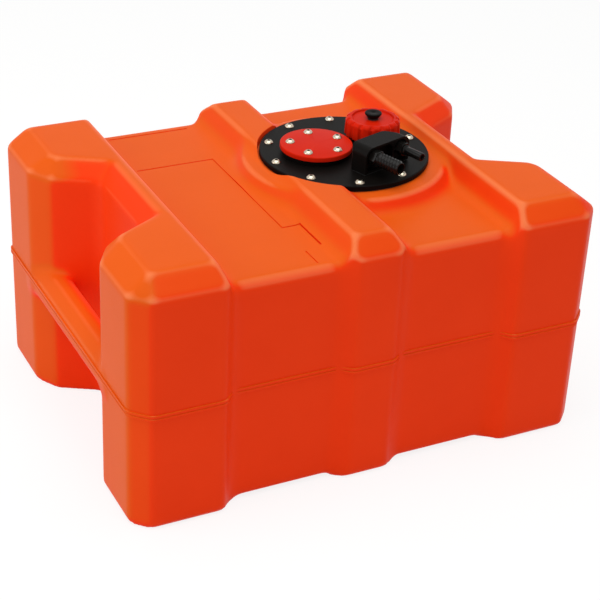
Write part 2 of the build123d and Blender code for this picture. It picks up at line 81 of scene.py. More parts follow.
def seen_directly(tree):
    """1 where the lens, a mirror or a clear piece looks, 0 where light is gathered."""
    path = put(tree, "ShaderNodeLightPath")
    either = put(tree, "ShaderNodeMath", {0: path.outputs["Is Camera Ray"],
                                          1: path.outputs["Is Glossy Ray"]}, operation="MAXIMUM")
    return put(tree, "ShaderNodeMath", {0: either.outputs[0],
                                        1: path.outputs["Is Transmission Ray"]},
               operation="MAXIMUM").outputs[0]


lens = bpy.data.cameras.new("lens")
lens.lens, lens.sensor_width = focal_length, film_width
camera = bpy.data.objects.new("lens", lens)
bpy.context.scene.collection.objects.link(camera)
ahead = Vector((math.sin(yaw) * math.cos(pitch), math.cos(yaw) * math.cos(pitch), -math.sin(pitch)))
level = Vector((math.cos(yaw), -math.sin(yaw), 0))
above = level.cross(ahead)
across = math.cos(roll) * level + math.sin(roll) * above
upright = math.cos(roll) * above - math.sin(roll) * level
turned_to = Matrix((across, upright, -ahead)).transposed().to_4x4()
camera.matrix_world = Matrix.Translation(eye) @ turned_to
bpy.context.scene.camera = camera
bpy.context.scene.view_settings.view_transform = "Standard"

world = bpy.data.worlds.new("white_room")
bpy.context.scene.world = world
tree = blank_tree(world)
fill = put(tree, "ShaderNodeBackground", {"Color": linear("#FFFFFF"), "Strength": fill_level})
bare = put(tree, "ShaderNodeBackground", {"Color": linear("#FFFFFF"), "Strength": 1.0})
room = put(tree, "ShaderNodeMixShader", {0: seen_directly(tree), 1: fill.outputs[0], 2: bare.outputs[0]})
put(tree, "ShaderNodeOutputWorld", {"Surface": room.outputs[0]})

for name, place, width, tall, power in (("top_panel", (-0.2, -0.2, 2.0), 1.8, 1.8, top_level),
                                        ("left_panel", (-2.2, 0.3, 0.9), 1.6, 1.6, left_level)):
    panel = bpy.data.lights.new(name, "AREA")
    panel.shape, panel.size, panel.size_y, panel.energy = "RECTANGLE", width, tall, power
    stand = bpy.data.objects.new(name, panel)
    stand.location = place
    stand.rotation_euler = (lamp_aim - stand.location).to_track_quat("-Z", "Y").to_euler()
    bpy.context.scene.collection.objects.link(stand)

sweep_paper = bpy.data.materials.new("white_paper_sweep")
tree = blank_tree(sweep_paper)
paper = put(tree, "ShaderNodeBsdfDiffuse", {"Color": linear("#F4F4F2")})
glow = put(tree, "ShaderNodeEmission", {"Color": linear("#FFFFFF"), "Strength": floor_glow})
clean = put(tree, "ShaderNodeMath", {0: seen_directly(tree), 1: 1 - shadow_share}, operation="MULTIPLY")
sweep = put(tree, "ShaderNodeMixShader", {0: clean.outputs[0], 1: paper.outputs[0], 2: glow.outputs[0]})
put(tree, "ShaderNodeOutputMaterial", {"Surface": sweep.outputs[0]})

floor_mesh = bpy.data.meshes.new("floor")
floor_corners = [(x * floor_half, y * floor_half, 0) for x, y in ((-1, -1), (1, -1), (1, 1), (-1, 1))]
floor_mesh.from_pydata(floor_corners, [], [(0, 1, 2, 3)])
floor = bpy.data.objects.new("floor", floor_mesh)
floor.data.materials.append(sweep_paper)
bpy.context.scene.collection.objects.link(floor)

# ---- tank shell -------------------------------------------------------------------------
# One hollow moulding in orange polyethylene, 5 mm thick: two end belts with their corner
# towers and hand recesses, the body between them, a rib across it and a boss for the plate.
# Its shape is a field of distances to flat sides, softened as a moulding's edges are.
end_x, side_y, top_z, shoulder_z = 250, 192, 267, 249
end_run, side_run, corner_cut = 23, 20, 18.4
belt_in, belt_foot_x, belt_sunk, belt_lean = 158, 146, 6, 9
panel_y, panel_z, panel_low, panel_top_cut, panel_foot_cut = 178, 242, 3, 5.5, 3
recess_mouth, recess_back, recess_round, recess_bevel = (234.5, 78.5), (190, 54), 9, 16
mouth_slope, wall_slope = (26.5, 15.5), (24.5, 44.5)
bar_in, bar_low, bar_high, bar_end, bar_round, bar_bevel = 218, 111, 143, 117, 10, (11, 12)
rib_top, rib_end, rib_foot, rib_y, rib_z = 20, 22, 34, 188, 265
plate_at, deck_z, boss_r, boss_foot, boss_low = (62.2, 12), 256, 105, 113, 200
seat_r, hatch_r, rim_r, rim_low = 90.4, 68, 87.4, 243
bar_root, rib_root, boss_root = 5, 7, 6    # rounds where the forms run into each other
foot_cut, wall = 4, 5
field_step, softness = 3.0, 2.4
outer_share, inner_share = 0.4, 0.08    # mesh kept of the finely drawn skins


def most_of(sides):
    """Inside all of these sides."""
    return reduce(np.maximum, sides)


def outside_edge(r, *sides):
    """Sides that meet in a rounded outside edge of radius r."""
    past = sum(np.square(np.maximum(side + r, 0)) for side in sides)
    return np.minimum(most_of(sides), -r) + np.sqrt(past)


def inside_corner(r, a, b):
    """Two bodies that meet in a rounded inside corner of radius r."""
    short = np.square(np.maximum(r - a, 0)) + np.square(np.maximum(r - b, 0))
    return np.maximum(np.minimum(a, b), r) - np.sqrt(short)


def facing(u, v, through, towards):
    """Distance from a line through a point, positive on the side it faces."""
    return ((u - through[0]) * towards[0] + (v - through[1]) * towards[1]) / math.hypot(*towards)


def end_belts(ax, ay, z):
    """The two ends: corner towers, the ridge between them, hand recess and grip bar."""
    drop = top_z - shoulder_z
    low_side = np.array((end_x - corner_cut, side_y, shoulder_z))
    low_end = np.array((end_x, side_y - corner_cut, shoulder_z))
    tip = np.array((end_x - end_run, side_y - side_run, top_z))
    out = np.cross(low_end - low_side, tip - low_side)
    out = out * math.copysign(1 / np.linalg.norm(out), out[2])
    tower_corner = (ax - tip[0]) * out[0] + (ay - tip[1]) * out[1] + (z - tip[2]) * out[2]
    belt = most_of([
        ax - end_x, ay - side_y, z - top_z, -z, tower_corner,
        facing(ax, ay, low_end, (1, 1)), facing(ax, z, tip[[0, 2]], (drop, end_run)),
        facing(ay, z, tip[[1, 2]], (drop, side_run)),
        facing(ax, ay, (belt_foot_x, panel_y), (panel_y - side_y, belt_in - belt_foot_x)),
        facing(ax, z, (belt_in - belt_sunk, panel_z), (panel_z - top_z, belt_lean)),
        facing(ax, z, (end_x, foot_cut), (1, -1)), facing(ay, z, (side_y, foot_cut), (1, -1))])
    side = np.minimum(facing(ax, ay, recess_back, (-wall_slope[0], wall_slope[1])),
                      facing(ax, ay, recess_mouth, (-mouth_slope[0], mouth_slope[1])))
    back = recess_back[0] - ax
    straight = outside_edge(recess_round, back, side)
    bevelled = np.maximum(facing(back, z, (0, shoulder_z), (drop, -recess_bevel)),
                          facing(side, z, (0, shoulder_z), (drop, -recess_bevel)))
    belt = np.maximum(belt, -np.minimum(straight, bevelled))
    bar = most_of([
        outside_edge(bar_round, bar_in - ax, z - bar_high),
        outside_edge(bar_round, bar_in - ax, bar_low - z),
        ax - end_x, facing(ax, z, (end_x, bar_high - bar_bevel[0]), bar_bevel), ay - bar_end])
    return inside_corner(bar_root, belt, bar)


def shell_field(x, y, z):
    """How far each place lies outside the moulding."""
    ax, ay, rho = np.abs(x), np.abs(y), np.hypot(x - plate_at[0], y - plate_at[1])
    panel = most_of([
        ax - belt_in - belt_sunk, ay - panel_y, z - panel_z, panel_low - z,
        facing(ay, z, (panel_y, panel_z - panel_top_cut), (1, 1)),
        facing(ay, z, (panel_y, panel_low + panel_foot_cut), (1, -1))])
    rib = most_of([
        ax - rib_foot, ay - rib_y, z - rib_z, -z,
        facing(ax, z, (rib_top, rib_z), (rib_z - panel_z, rib_foot - rib_top)),
        facing(ay, z, (rib_y - side_run, rib_z), (top_z - shoulder_z, side_run)),
        facing(ax, ay, (rib_end, rib_y), (rib_y - panel_y, rib_foot - rib_end)),
        facing(ay, z, (rib_y, foot_cut), (1, -1))])
    boss = most_of([facing(rho, z, (boss_r, deck_z), (deck_z - panel_z, boss_foot - boss_r)),
                    z - deck_z, boss_low - z])
    form = inside_corner(rib_root, inside_corner(rib_root, end_belts(ax, ay, z), panel), rib)
    return inside_corner(boss_root, form, boss)


def soften(field, spread):
    """Gaussian average of the field: edges turn round and flats stay where they are."""
    reach = int(3 * spread / field_step) + 1
    taps = np.exp(-0.5 * (np.arange(-reach, reach + 1) * field_step / spread) ** 2)
    taps /= taps.sum()
    for axis in range(3):
        ends = [(reach, reach) if a == axis else (0, 0) for a in range(3)]
        padded = np.pad(field, ends, mode="edge")
        field = sum(tap * np.take(padded, range(i, i + field.shape[axis]), axis)
                    for i, tap in enumerate(taps))
    return field


def skin(field, origin):
    """Closed quads where the field crosses zero: one point in each crossed cell."""
    inside = field < 0
    cells = np.array(field.shape) - 1
    total, count, crossings = np.zeros((*cells, 3)), np.zeros(cells), []
    for axis in range(3):
        low = tuple(slice(0, -1) if a == axis else slice(None) for a in range(3))
        high = tuple(slice(1, None) if a == axis else slice(None) for a in range(3))
        crossed = inside[low] != inside[high]
        where = np.argwhere(crossed)
        point = where.astype(float)
        point[:, axis] += field[low][crossed] / (field[low][crossed] - field[high][crossed])
        a, b = [(1, 2), (2, 0), (0, 1)][axis]
        around = []
        for da, db in ((1, 1), (0, 1), (0, 0), (1, 0)):
            cell = where.copy()
            cell[:, a] -= da
            cell[:, b] -= db
            np.add.at(total, tuple(cell.T), point)
            np.add.at(count, tuple(cell.T), 1)
            around.append(cell)
        crossings.append((around, inside[low][crossed]))
    used = count > 0
    number = np.cumsum(used).reshape(used.shape) - 1
    faces = []
    for around, starts_inside in crossings:
        quad = np.stack([number[tuple(cell.T)] for cell in around], 1)
        quad[~starts_inside] = quad[~starts_inside][:, ::-1]
        faces.append(quad)
    return total[used] / count[used][:, None] * field_step + origin, np.concatenate(faces)


def make(name, points, faces):
    """A piece from points in millimetres and faces by point number."""
    mesh = bpy.data.meshes.new(name)
    mesh.from_pydata((np.asarray(points, float) * MM).tolist(), [], [list(face) for face in faces])
    piece = bpy.data.objects.new(name, mesh)
    bpy.context.scene.collection.objects.link(piece)
    return piece


def settle(piece):
    """Turn a piece and its modifiers into plain mesh."""
    graph = bpy.context.evaluated_depsgraph_get()
    mesh = bpy.data.meshes.new_from_object(piece.evaluated_get(graph), depsgraph=graph)
    piece.modifiers.clear()
    piece.data = mesh


def carve(piece, *tools, how="DIFFERENCE"):
    """Cut tools out of a piece, join them to it or keep what both share; the tools go."""
    for tool in tools:
        cut = piece.modifiers.new("cut", "BOOLEAN")
        cut.operation, cut.solver, cut.object = how, "MANIFOLD", tool
    settle(piece)
    for tool in tools:
        bpy.data.objects.remove(tool)


def turned(name, outline, middle=(0, 0), steps=128, radius=None):
    """A closed piece turned about an upright axis; the outline runs up its outside."""
    points, rings = [], []
    for r, z in outline:
        turns = [0.0] if r == 0 else [2 * math.pi * i / steps for i in range(steps)]
        rings.append(range(len(points), len(points) + len(turns)))
        for turn in turns:
            reach = radius(r, z, turn) if radius else r
            points.append((middle[0] + reach * math.cos(turn), middle[1] + reach * math.sin(turn), z))
    pairs = list(zip(rings, rings[1:]))
    if outline[0][0] and outline[-1][0]:
        pairs.append((rings[-1], rings[0]))
    faces = []
    for lower, upper in pairs:
        for i in range(steps):
            j = (i + 1) % steps
            ring = [lower[i % len(lower)], lower[j % len(lower)],
                    upper[j % len(upper)], upper[i % len(upper)]]
            face = [p for k, p in enumerate(ring) if p != ring[k - 1]]
            if len(face) > 2:
                faces.append(face)
    return make(name, points, faces)


def eased(corners, steps=4, closed=False):
    """An outline from (x, y, radius) corners, each rounded by its radius."""
    outline = []
    count = len(corners)
    for i, (x, y, r) in enumerate(corners):
        if not r or (not closed and i in (0, count - 1)):
            outline.append((x, y))
            continue
        here = Vector((x, y))
        back = (Vector(corners[i - 1][:2]) - here).normalized()
        on = (Vector(corners[(i + 1) % count][:2]) - here).normalized()
        half = back.angle(on) / 2
        heart = here + (back + on).normalized() * (r / math.sin(half))
        start = here + back * (r / math.tan(half)) - heart
        sweep_angle = (math.pi - 2 * half) * math.copysign(1, back.x * on.y - back.y * on.x)
        for k in range(steps + 1):
            spoke = start.copy()
            spoke.rotate(Matrix.Rotation(-sweep_angle * k / steps, 2))
            outline.append(tuple(heart + spoke))
    return outline


def block(name, low, high):
    """A plain box between two corners, used as a tool."""
    span = list(zip(low, high))
    corners = [(x, y, z) for z in span[2] for y in span[1] for x in span[0]]
    return make(name, corners, [(0, 2, 3, 1), (4, 5, 7, 6), (0, 1, 5, 4),
                                (1, 3, 7, 5), (3, 2, 6, 7), (2, 0, 4, 6)])


def spaced_round(middle, r, count, first):
    """Middles of pieces evenly spaced round a circle, the first at an angle in degrees."""
    turns = [math.radians(first + 360 * i / count) for i in range(count)]
    return [(middle[0] + r * math.cos(turn), middle[1] + r * math.sin(turn)) for turn in turns]


def values_of(items, what, wide=1, kind=float):
    """The values of a mesh's items, in rows where each item has more than one."""
    values = np.empty(wide * len(items), kind)
    items.foreach_get(what, values)
    return values.reshape(-1, wide) if wide > 1 else values


def thinned(piece, share):
    """Join a finely drawn skin's flat faces until this share of it is left."""
    thin = piece.modifiers.new("thin", "DECIMATE")
    thin.ratio = share
    settle(piece)
    return piece


margin = 4 * field_step                 # no plane of the grid lies in the ground or in an end
axes = [np.arange(low - margin, high + margin, field_step)
        for low, high in ((-end_x - 0.5, end_x + 0.5), (-side_y, side_y), (-1.5, top_z + 4))]
X, Y, Z = np.meshgrid(*axes, indexing="ij", sparse=True)
origin = np.array([axis[0] for axis in axes])
band = 14                               # the field only matters this near the skin
form = soften(np.clip(shell_field(X, Y, Z), -band, band), softness)
rho = np.hypot(X - plate_at[0], Y - plate_at[1])
hollow = most_of([form + wall, -np.maximum(rho - seat_r - wall, deck_z - wall - Z),
                  -np.maximum(rho - rim_r, rim_low - Z)])

tank_shell = thinned(make("tank_shell", *skin(form, origin)), outer_share)
limit = np.array((end_x, side_y, top_z)) * MM
places = np.clip(values_of(tank_shell.data.vertices, "co", 3), (-limit[0], -limit[1], 0), limit)
tank_shell.data.vertices.foreach_set("co", places.astype(np.float32).ravel())
inner_skin = thinned(make("inner_skin", *skin(hollow, origin)), inner_share)

# bead along the parting of the mould, rounded at the corners, with a fine line along its middle
bead_low, bead_high, bead_deep, bead_proud, bead_turn = 124, 130, 3, 1.5, 9
parting_deep, parting_mouth, parting_floor = 0.8, 0.8, 0.4
quarter = [(end_x, side_y - corner_cut), (end_x - corner_cut, side_y), (belt_in, side_y),
           (belt_foot_x, panel_y), (rib_foot, panel_y), (rib_end, rib_y)]
half = quarter + [(-x, y) for x, y in reversed(quarter)]
girth = eased([(x, y, bead_turn) for x, y in half + [(-x, -y) for x, y in half]], 6, closed=True)
bead_mid, parting = (bead_low + bead_high) / 2, bead_proud - parting_deep
section = eased([(-bead_deep, bead_low, 0), (bead_proud, bead_low, 0.5),
                 (bead_proud, bead_mid - parting_mouth, 0.2), (parting, bead_mid - parting_floor, 0.1),
                 (parting, bead_mid + parting_floor, 0.1), (bead_proud, bead_mid + parting_mouth, 0.2),
                 (bead_proud, bead_high, 0.5), (-bead_deep, bead_high, 0)], 3)
points, faces = [], []
for i, (x, y) in enumerate(girth):
    before, after = girth[i - 1], girth[(i + 1) % len(girth)]
    out = Vector((after[1] - before[1], before[0] - after[0])).normalized()
    points += [(x + out.x * reach, y + out.y * reach, z) for reach, z in section]
for i in range(len(girth)):
    for k in range(len(section)):
        k_on, i_on = (k + 1) % len(section), (i + 1) % len(girth)
        faces.append((i * len(section) + k, i_on * len(section) + k,
                      i_on * len(section) + k_on, i * len(section) + k_on))
bead = make("bead", points, faces)
carve(tank_shell, bead, how="UNION")
carve(tank_shell, inner_skin)

# seat and hatch for the plate, its lip eased, with pockets for its ten inserts
seat_floor, hatch_low, lip_low, clear_z = deck_z - 0.02, 225, 263.6, 290
seat = turned("seat", [
    (0, hatch_low), (hatch_r, hatch_low), (hatch_r, seat_floor), (seat_r, seat_floor), (seat_r, lip_low),
    (seat_r + 0.4, lip_low + 1), (seat_r + 1.4, lip_low + 1.4), (seat_r + 4, lip_low + 1.8),
    (seat_r + 4, clear_z), (0, clear_z)], plate_at, 192)
screw_ring, screw_count, screw_turn = 79.3, 10, 2
pocket_r, pocket_low = 4.02, deck_z - 10.5
pocket_outline = [(0, pocket_low), (pocket_r, pocket_low), (pocket_r, deck_z + 1), (0, deck_z + 1)]
pockets = [turned("pocket", pocket_outline, middle, 24)
           for middle in spaced_round(plate_at, screw_ring, screw_count, screw_turn)]
carve(tank_shell, seat, *pockets)

# shallow lines in the left panel, one box for each straight stretch
line_wide, line_deep = 1.8, 1.0
lines = [((-140, 80), (-57, 80)), ((-57, 80), (-57, -89.5)), ((-57, -89.5), (-38, -89.5)),
         ((-38, -89.5), (-38, -135)), ((-57, -143), (-57, -166)), ((-140, 163), (-52, 163))]
tools = []
for start, end in lines:
    low = [min(a, b) - line_wide / 2 for a, b in zip(start, end)]
    high = [max(a, b) + line_wide / 2 for a, b in zip(start, end)]
    tools.append(block("line", (*low, panel_z - line_deep), (*high, panel_z + 3)))
carve(tank_shell, *tools)


def sampled(field, places):
    """The field's values at places in millimetres, by straight interpolation."""
    at = (places - origin) / field_step
    cell = np.clip(np.floor(at).astype(int), 0, np.array(field.shape) - 2)
    part = at - cell
    value = 0.0
    for corner in np.ndindex(2, 2, 2):
        share = np.prod(np.where(corner, part, 1 - part), axis=1)
        value = value + share * field[tuple((cell + corner).T)]
    return value


def smooth(piece, sharp=32):
    """Shade round surfaces smooth and keep edges crisp."""
    piece.data.shade_smooth()
    piece.data.set_sharp_from_angle(angle=math.radians(sharp))


def smooth_as(piece, field, agree=0.88, sharp=35):
    """Shade a piece by the field's own slope, and by its faces where it was cut."""
    smooth(piece, sharp)
    mesh = piece.data
    normals = values_of(mesh.corner_normals, "vector", 3)
    places = values_of(mesh.vertices, "co", 3) / MM
    slope = np.stack([sampled(part, places) for part in np.gradient(field)], 1)
    slope /= np.linalg.norm(slope, axis=1)[:, None] + 1e-9
    slope = slope[values_of(mesh.loops, "vertex_index", kind=int)]
    corners = values_of(mesh.polygons, "loop_total", kind=int)
    flat = np.repeat(values_of(mesh.polygons, "normal", 3), corners, axis=0)
    match = np.sum(slope * flat, axis=1)
    follows = np.abs(match) > agree
    normals[follows] = (slope * np.sign(match)[:, None])[follows]
    mesh.normals_split_custom_set(normals.tolist())


smooth_as(tank_shell, form)

# where the skin turns outwards on a tight round, the bend is stored for a painted highlight along the
# edge
tight_bend = 0.25
bend = sum(np.gradient(np.gradient(form, axis=axis), axis=axis) for axis in range(3)) / field_step ** 2
places = values_of(tank_shell.data.vertices, "co", 3) / MM
edge_highlight = tank_shell.data.attributes.new("edge_highlight", "FLOAT", "POINT")
edge_highlight.data.foreach_set("value", np.clip(sampled(bend, places) / tight_bend, 0, 1))


def material(name):
    """A new material and its empty node tree."""
    made = bpy.data.materials.new(name)
    return made, blank_tree(made)


# Moulded polyethylene is waxy: colour right through with faint clouds in it, a satin skin
# with the mould's fine grain, and long soft waves where the wall shrank as it cooled. Its upper
# faces and its left end are painted a paler orange as painted light, the back of the hand recess
# is held at the deeper orange as painted shade, and its upper edges get a paler painted highlight.
moulded_polyethylene, tree = material("orange_moulded_polyethylene")
where = put(tree, "ShaderNodeTexCoord").outputs["Object"]
clouds = put(tree, "ShaderNodeTexNoise", {"Vector": where, "Scale": 1 / (60 * MM), "Detail": 3.0})
grain = put(tree, "ShaderNodeTexNoise", {"Vector": where, "Scale": 1 / (1.8 * MM), "Detail": 2.0})
waves = put(tree, "ShaderNodeTexNoise", {"Vector": where, "Scale": 1 / (70 * MM), "Detail": 1.0})
# lit and shaded copies of the orange: the pale one is painted light on faces turned up and to the left
# end, and the deep one stands as painted shade where it is held back
deep = put(tree, "ShaderNodeMix", {0: clouds.outputs[0], 6: linear("#F13B0C"), 7: linear("#F84010")},
           data_type="RGBA")
pale = put(tree, "ShaderNodeMix", {0: clouds.outputs[0], 6: linear("#E0580F"), 7: linear("#E65C16")},
           data_type="RGBA")
facing_out = put(tree, "ShaderNodeTexCoord").outputs["Normal"]
up_share = put(tree, "ShaderNodeSeparateXYZ", {0: facing_out}).outputs["Z"]
along_x = put(tree, "ShaderNodeSeparateXYZ", {0: where}).outputs["X"]
# the painted light's direction leans along the tank: the back of the hand recess is held in painted
# shade, and past the end belt the faces turned to the left end get more painted light
recess_painted_shade = put(tree, "ShaderNodeMapRange", {
    "Value": along_x, "From Min": -225 * MM, "From Max": -205 * MM, "To Min": -0.8, "To Max": 0.1})
deck_painted_light = put(tree, "ShaderNodeMapRange", {
    "Value": along_x, "From Min": -172 * MM, "From Max": -160 * MM, "To Min": 0.0, "To Max": -0.4})
aside = put(tree, "ShaderNodeMath", {0: recess_painted_shade.outputs[0], 1: deck_painted_light.outputs[0]}, operation="ADD")
painted_light_from = put(tree, "ShaderNodeCombineXYZ", {"X": aside.outputs[0], "Y": -0.05, "Z": 0.8})
lit_facing = put(tree, "ShaderNodeVectorMath", {0: facing_out, 1: painted_light_from.outputs[0]}, operation="DOT_PRODUCT")
painted_light_share = put(tree, "ShaderNodeMapRange", {
    "Value": lit_facing.outputs["Value"], "From Min": 0.5, "From Max": 0.8})
body_tint = put(tree, "ShaderNodeMix", {0: painted_light_share.outputs[0], 6: deep.outputs[2], 7: pale.outputs[2]},
                data_type="RGBA")
# painted highlight: tight outward rounds that face upwards are lightened towards a pale orange
edges = put(tree, "ShaderNodeAttribute", attribute_name="edge_highlight")
upper = put(tree, "ShaderNodeMapRange", {
    "Value": up_share, "From Min": 0.15, "From Max": 0.4, "To Max": 0.45})
edge_highlight_share = put(tree, "ShaderNodeMapRange", {
    "Value": edges.outputs["Fac"], "From Min": 0.24, "From Max": 0.55, "To Max": upper.outputs[0]})
tint = put(tree, "ShaderNodeMix", {0: edge_highlight_share.outputs[0], 6: body_tint.outputs[2], 7: linear("#FA9462")},
           data_type="RGBA")
gloss = put(tree, "ShaderNodeMapRange", {"Value": grain.outputs[0], "To Min": 0.34, "To Max": 0.46})
soft = put(tree, "ShaderNodeBump", {"Height": waves.outputs[0], "Distance": 0.5 * MM, "Strength": 0.5})
fine = put(tree, "ShaderNodeBump", {"Height": grain.outputs[0], "Distance": 0.05 * MM, "Strength": 0.5,
                                    "Normal": soft.outputs[0]})
skin_shader = put(tree, "ShaderNodeBsdfPrincipled", {
    "Base Color": tint.outputs[2], "Roughness": gloss.outputs[0], "Normal": fine.outputs[0], "IOR": 1.52,
    "Specular IOR Level": 0.05})
put(tree, "ShaderNodeOutputMaterial", {"Surface": skin_shader.outputs[0]})


def finish(piece, paint, body, slot, *replaced):
    """Paint a piece that isn't painted yet, let it ride on its body and stand for its CAD nodes."""
    if paint.name not in piece.data.materials:
        piece.data.materials.clear()
        piece.data.materials.append(paint)
    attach(piece, body)
    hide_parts(*replaced)


finish(tank_shell, moulded_polyethylene, "tank", "tank_plastic", "tank_body")

# ---- inserts and gaskets ----------------------------------------------------------------
# Turned brass inserts pressed into the shell and into the gauge port, with flat gaskets cut
# from fuel-proof rubber between the shell, the plate, the red cover and the block.
turned_brass, tree = material("turned_brass")
where = put(tree, "ShaderNodeTexCoord").outputs["Object"]
rings = put(tree, "ShaderNodeTexWave", {"Vector": where, "Scale": 1 / (0.9 * MM), "Distortion": 1.0},
            bands_direction="Z")
gloss = put(tree, "ShaderNodeMapRange", {"Value": rings.outputs[1], "To Min": 0.22, "To Max": 0.34})
metal = put(tree, "ShaderNodeBsdfPrincipled", {
    "Base Color": linear("#D9B56A"), "Metallic": 1.0, "Roughness": gloss.outputs[0]})
put(tree, "ShaderNodeOutputMaterial", {"Surface": metal.outputs[0]})

# Cut rubber sheet is matt black with a powdery bloom.
cut_rubber, tree = material("black_rubber_sheet")
where = put(tree, "ShaderNodeTexCoord").outputs["Object"]
bloom = put(tree, "ShaderNodeTexNoise", {"Vector": where, "Scale": 1 / (3 * MM), "Detail": 4.0})
tint = put(tree, "ShaderNodeMix", {0: bloom.outputs[0], 6: linear("#141414"), 7: linear("#242424")},
           data_type="RGBA")
speckle = put(tree, "ShaderNodeBump", {"Height": bloom.outputs[0], "Distance": 0.05 * MM, "Strength": 0.4})
sheet = put(tree, "ShaderNodeBsdfPrincipled", {
    "Base Color": tint.outputs[2], "Roughness": 0.75, "Normal": speckle.outputs[0], "IOR": 1.52})
put(tree, "ShaderNodeOutputMaterial", {"Surface": sheet.outputs[0]})


def repaint(paint, *names):
    """Give CAD nodes that keep their shape a finished material."""
    for name in names:
        for place in nodes[name].material_slots:
            place.material = paint


repaint(turned_brass, "flange_inserts", "sender_inserts")
repaint(cut_rubber, "flange_gasket", "sender_gasket", "manifold_gasket", "cap_gasket",
        "supply_tail_seal", "breather_tail_seal", "pickup_tube_seal")

# ---- fittings plate ---------------------------------------------------------------------
# A 5 mm disc of black glass-filled nylon with the filler neck and the gauge port's boss
# moulded on. It drops into the seat on its gasket.

# Glass-filled nylon is near black with a faint brown cast, and the fibres near its skin
# leave it satin and slightly mottled.
filled_nylon, tree = material("black_glass_filled_nylon")
where = put(tree, "ShaderNodeTexCoord").outputs["Object"]
fibres = put(tree, "ShaderNodeTexNoise", {"Vector": where, "Scale": 1 / (0.9 * MM), "Detail": 3.0})
mottle = put(tree, "ShaderNodeTexNoise", {"Vector": where, "Scale": 1 / (14 * MM), "Detail": 2.0})
tint = put(tree, "ShaderNodeMix", {0: mottle.outputs[0], 6: linear("#080605"), 7: linear("#0E0B09")},
           data_type="RGBA")
gloss = put(tree, "ShaderNodeMapRange", {"Value": fibres.outputs[0], "To Min": 0.36, "To Max": 0.56})
rough = put(tree, "ShaderNodeBump", {
    "Height": fibres.outputs[0], "Distance": 0.04 * MM, "Strength": 0.6})
nylon = put(tree, "ShaderNodeBsdfPrincipled", {
    "Base Color": tint.outputs[2], "Roughness": gloss.outputs[0], "Normal": rough.outputs[0],
    "IOR": 1.53, "Specular IOR Level": 0.045})
put(tree, "ShaderNodeOutputMaterial", {"Surface": nylon.outputs[0]})
repaint(filled_nylon, "inspection_plate")

# ---- screws -----------------------------------------------------------------------------
# Stainless button-head screws with a hexagon socket, ten round the plate and five in the
# cover, each stopped at its own angle when it was driven home.
head_r, head_high, head_rim, crown_r, dome_share = 4.9, 2.9, 0.4, 2.3, 1.12
shank_r, socket_r, socket_z, arc_steps = 2.5, 1.76, 1.3, 8
plate_top, cover_top = 262.5, 273
port_at, port_ring, port_count, port_turn = (32, 17), 27, 5, 10


def button_screw(length):
    """One screw standing on its head's underside at the origin."""
    dome = dome_share * head_r
    low, top = (head_r, head_rim), (crown_r, head_high)
    chord = Vector(top) - Vector(low)
    to_heart = math.sqrt(dome ** 2 - chord.length_squared / 4)
    heart = Vector(low) + chord / 2 + Vector((-chord.y, chord.x)).normalized() * to_heart
    start, end = (math.atan2(p[1] - heart.y, p[0] - heart.x) for p in (low, top))
    swings = [start + (end - start) * k / arc_steps for k in range(arc_steps + 1)]
    arc = [(heart.x + dome * math.cos(swing), heart.y + dome * math.sin(swing)) for swing in swings]
    screw = turned("screw", [
        (0, -length), (shank_r - 0.5, -length), (shank_r, 0.5 - length), (shank_r, 0),
        (head_r - 0.1, 0), (head_r, 0.1), *arc, (0, head_high)], steps=48)
    socket = turned("socket", [
        (0, socket_z - 0.6), (socket_r, socket_z), (socket_r, 4), (0, 4)], steps=6)
    carve(screw, socket)
    sunk = screw.data.attributes.new("socket", "BOOLEAN", "FACE")
    for face in screw.data.polygons:
        x, y, z = face.center / MM
        sunk.data[face.index].value = z > head_rim + 0.1 and math.hypot(x, y) < socket_r * 0.99
    return screw


def screw_circle():
    """Node tree that sets copies of a screw round a circle, each at its own angle."""
    circle = bpy.data.node_groups.new("screw_circle", "GeometryNodeTree")
    circle.interface.new_socket("Geometry", in_out="OUTPUT", socket_type="NodeSocketGeometry")
    for title, kind in (("Screw", "Geometry"), ("Count", "Int"), ("Radius", "Float"),
                        ("Middle", "Vector"), ("Turn", "Float"), ("Seed", "Int"),
                        ("Finish", "Material"), ("Sockets", "Material")):
        circle.interface.new_socket(title, in_out="INPUT", socket_type="NodeSocket" + kind)
    given = put(circle, "NodeGroupInput").outputs
    ring = put(circle, "GeometryNodeMeshCircle", {"Vertices": given["Count"], "Radius": given["Radius"]})
    angle = put(circle, "ShaderNodeCombineXYZ", {"Z": given["Turn"]})
    placed = put(circle, "GeometryNodeTransform", {
        "Geometry": ring.outputs[0], "Translation": given["Middle"], "Rotation": angle.outputs[0]})
    driven = put(circle, "FunctionNodeRandomValue", {0: (0, 0, 0), 1: (0, 0, 2 * math.pi),
                                                     "Seed": given["Seed"]}, data_type="FLOAT_VECTOR")
    copies = put(circle, "GeometryNodeInstanceOnPoints", {
        "Points": placed.outputs[0], "Instance": given["Screw"], "Rotation": driven.outputs[0]})
    real = put(circle, "GeometryNodeRealizeInstances", {"Geometry": copies.outputs[0]})
    sunk = put(circle, "GeometryNodeInputNamedAttribute", {"Name": "socket"}, data_type="BOOLEAN")
    coated = put(circle, "GeometryNodeSetMaterial", {
        "Geometry": real.outputs[0], "Material": given["Finish"]})
    # the socket's faces take the painted shade material
    shaded_sockets = put(circle, "GeometryNodeSetMaterial", {
        "Geometry": coated.outputs[0], "Selection": sunk.outputs[0], "Material": given["Sockets"]})
    put(circle, "NodeGroupOutput", {"Geometry": shaded_sockets.outputs[0]})
    return circle


